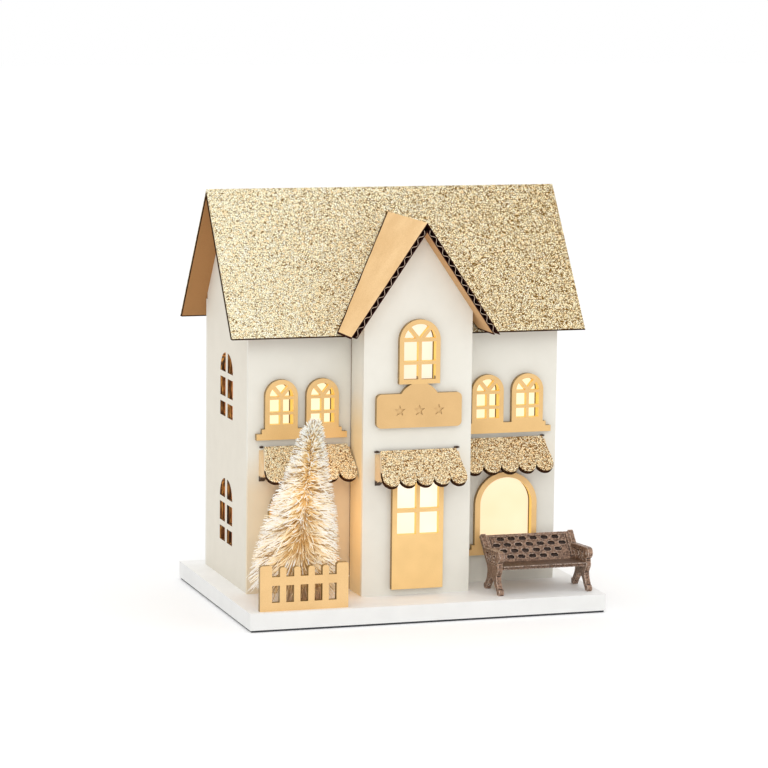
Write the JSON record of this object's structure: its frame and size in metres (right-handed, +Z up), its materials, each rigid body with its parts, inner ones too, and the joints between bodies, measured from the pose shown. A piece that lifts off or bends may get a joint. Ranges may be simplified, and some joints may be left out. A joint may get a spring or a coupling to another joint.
{
  "type": "lighted christmas village house",
  "caption": "Tabletop village house in cut board with a glitter roof, front gable, scalloped awnings, arched windows, fence, frosted tree, bench and battery lighting.",
  "frame": {"origin": "middle of the underside of the base, on the surface that the house stands on", "axes": "+Z up, +X to the right seen from the front, +Y from the front to the back"},
  "size_m": [0.2, 0.147, 0.225],
  "materials": {
    "white_board": "matt white faced board",
    "underlay_card": "matt charcoal card",
    "wall_card": "matt warm white faced corrugated card",
    "glitter_card": "champagne gold glitter on corrugated card, dark cut edges",
    "gable_card": "satin kraft gold faced corrugated card, dark cut edges",
    "gold_board": "thin fibreboard painted satin gold, dark cut edges",
    "window_film": "translucent warm film",
    "tree_foot_wood": "turned wood, matt brown",
    "tree_wire_steel": "twisted steel wire",
    "tree_bristle": "cream sisal bristles with frosted tips",
    "bench_metal": "worn dark brown paint",
    "box_plastic": "fine grained white plastic",
    "plated_steel": "nickel plated",
    "cell_jacket": "printed shrink jacket, plain",
    "switch_black": "black moulded plastic",
    "circuit_board": "green solder mask",
    "lamp_lens": "clear warm lens",
    "resistor_body": "matt beige coating with plain bands",
    "lead_sleeve": "soft red sleeve"
  },
  "bodies": {
    "house": {"base_board": "white_board", "base_underlay": "underlay_card", "left_wall": "wall_card", "right_wall": "wall_card", "back_wall": "wall_card", "wing_wall_left": "wall_card", "wing_wall_right": "wall_card", "bay_front": "wall_card", "bay_side_left": "wall_card", "bay_side_right": "wall_card", "roof_front_panel": "glitter_card", "roof_back_panel": "glitter_card", "gable_roof_left": "gable_card", "gable_roof_right": "gable_card", "door_awning": "glitter_card", "shop_awning_left": "glitter_card", "shop_awning_right": "glitter_card", "door_awning_cheeks": "gold_board", "shop_awning_left_cheeks": "gold_board", "shop_awning_right_cheeks": "gold_board", "door": "gold_board", "centre_window": "gold_board", "sign_plate": "gold_board", "twin_window_left": "gold_board", "twin_window_right": "gold_board", "shop_window_left": "gold_board", "shop_window_right": "gold_board", "film_left": "window_film", "film_right": "window_film", "film_bay": "window_film", "picket_fence": "gold_board", "tree_foot": "tree_foot_wood", "tree_wire": "tree_wire_steel", "tree_bristles": "tree_bristle", "bench_back_plate": "bench_metal", "bench_seat": "bench_metal", "bench_end_left": "bench_metal", "bench_end_right": "bench_metal", "battery_box": "box_plastic", "cell_contacts": "plated_steel", "battery_cells": "cell_jacket", "switch_body": "switch_black", "lamp_board": "circuit_board", "board_screws": "plated_steel", "lamps": "lamp_lens", "resistor": "resistor_body", "lamp_leads": "lead_sleeve"},
    "cover": {"battery_cover": "box_plastic"},
    "screw": {"cover_screw": "plated_steel"},
    "slider": {"switch_slider": "switch_black"}
  },
  "joints": [
    {"name": "switch_slide", "type": "slide", "parent": "house", "child": "slider", "axis": [1, 0, 0], "range_m": [0, 0.003]},
    {"name": "cover_lift_off", "type": "slide", "parent": "house", "child": "cover", "axis": [0, 0, -1], "range_m": [0, 0.03]},
    {"name": "cover_screw_turn", "type": "hinge", "parent": "cover", "child": "screw", "pos_m": [0.0335, 0.02975, 0.002], "axis": [0, 0, 1], "continuous": true}
  ]
}
